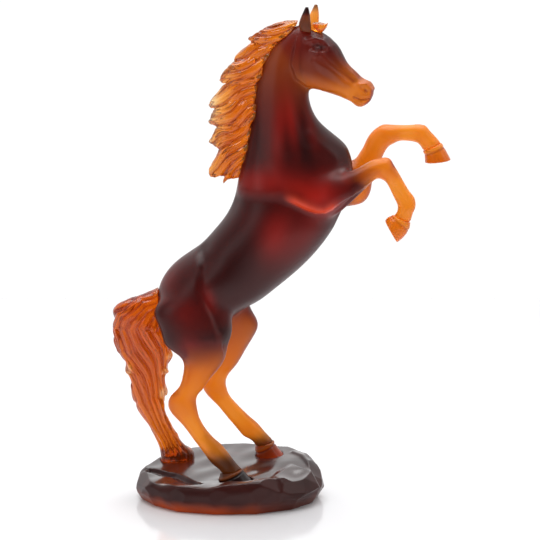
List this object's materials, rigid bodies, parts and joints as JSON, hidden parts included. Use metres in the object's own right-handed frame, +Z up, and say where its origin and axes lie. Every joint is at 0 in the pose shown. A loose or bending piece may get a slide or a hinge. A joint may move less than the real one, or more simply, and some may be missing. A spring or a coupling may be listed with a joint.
{
  "type": "crystal horse figurine",
  "caption": "Rearing horse statuette in amber and burgundy kiln-cast crystal, fused by its hind hooves and tail to an oval rock-like plinth.",
  "frame": {"origin": "centre of the plinth's flat underside", "axes": "+Z up, +X the way the horse faces, +Y the horse's left"},
  "size_m": [0.2577, 0.1027, 0.38],
  "materials": {
    "amber_crystal": "fine satin with polished edges",
    "burgundy_crystal": "fine satin",
    "smoky_crystal": "polished"
  },
  "bodies": {
    "root": {"forelock": "amber_crystal", "head": "burgundy_crystal", "left_ear": "amber_crystal", "left_fore_hoof": "amber_crystal", "left_foreleg": "amber_crystal", "left_hind_hoof": "smoky_crystal", "left_hind_leg": "amber_crystal", "mane": "amber_crystal", "neck": "burgundy_crystal", "plinth": "smoky_crystal", "right_ear": "burgundy_crystal", "right_fore_hoof": "amber_crystal", "right_foreleg": "amber_crystal", "right_hind_hoof": "smoky_crystal", "right_hind_leg": "amber_crystal", "tail": "amber_crystal", "trunk": "burgundy_crystal"}
  },
  "joints": []
}
